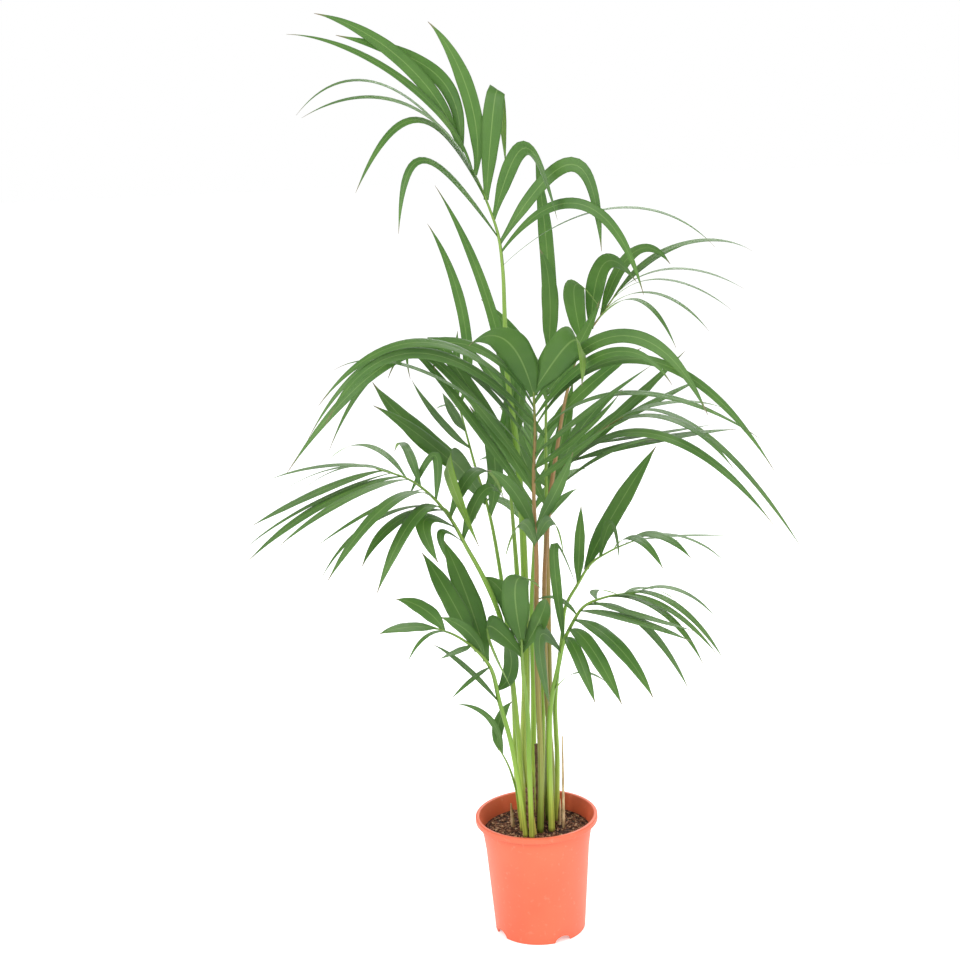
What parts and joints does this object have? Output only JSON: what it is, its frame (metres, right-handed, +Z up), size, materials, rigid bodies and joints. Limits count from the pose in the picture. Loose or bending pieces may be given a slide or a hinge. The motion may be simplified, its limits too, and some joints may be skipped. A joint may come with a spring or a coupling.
{
  "type": "potted palm",
  "caption": "Tall potted palm with arching feather-shaped fronds growing as a clump from soil in a tapered plastic nursery pot.",
  "frame": {"origin": "on the floor, under the middle of the whole plant's box; the pot's axis stands 6.6 mm to +X and 112.1 mm to -Y of it", "axes": "+Z up parallel to the pot's axis, the side seen first faces -Y, +X to its right"},
  "size_m": [0.878, 0.7654, 1.5626],
  "materials": {
    "pot_plastic": "satin",
    "soil_peat": "matte",
    "leaf_green": "satin",
    "trunk_bark": "matte"
  },
  "bodies": {
    "root": {"pot": "pot_plastic", "soil": "soil_peat", "trunk_ringed": "trunk_bark", "trunk_fibrous": "trunk_bark", "spike_sheath": "trunk_bark", "husk_left": "trunk_bark", "husk_right": "trunk_bark", "old_stalk": "trunk_bark", "frond_crown": "leaf_green", "frond_upper_right": "leaf_green", "frond_back_centre": "leaf_green", "frond_left_slender": "leaf_green", "frond_front": "leaf_green", "frond_right": "leaf_green", "frond_left": "leaf_green", "frond_lower_left": "leaf_green", "frond_lower_right": "leaf_green", "frond_right_low_back": "leaf_green", "frond_spear": "leaf_green", "frond_young_front": "leaf_green", "frond_seedling": "leaf_green", "frond_back_low": "leaf_green"}
  },
  "joints": []
}
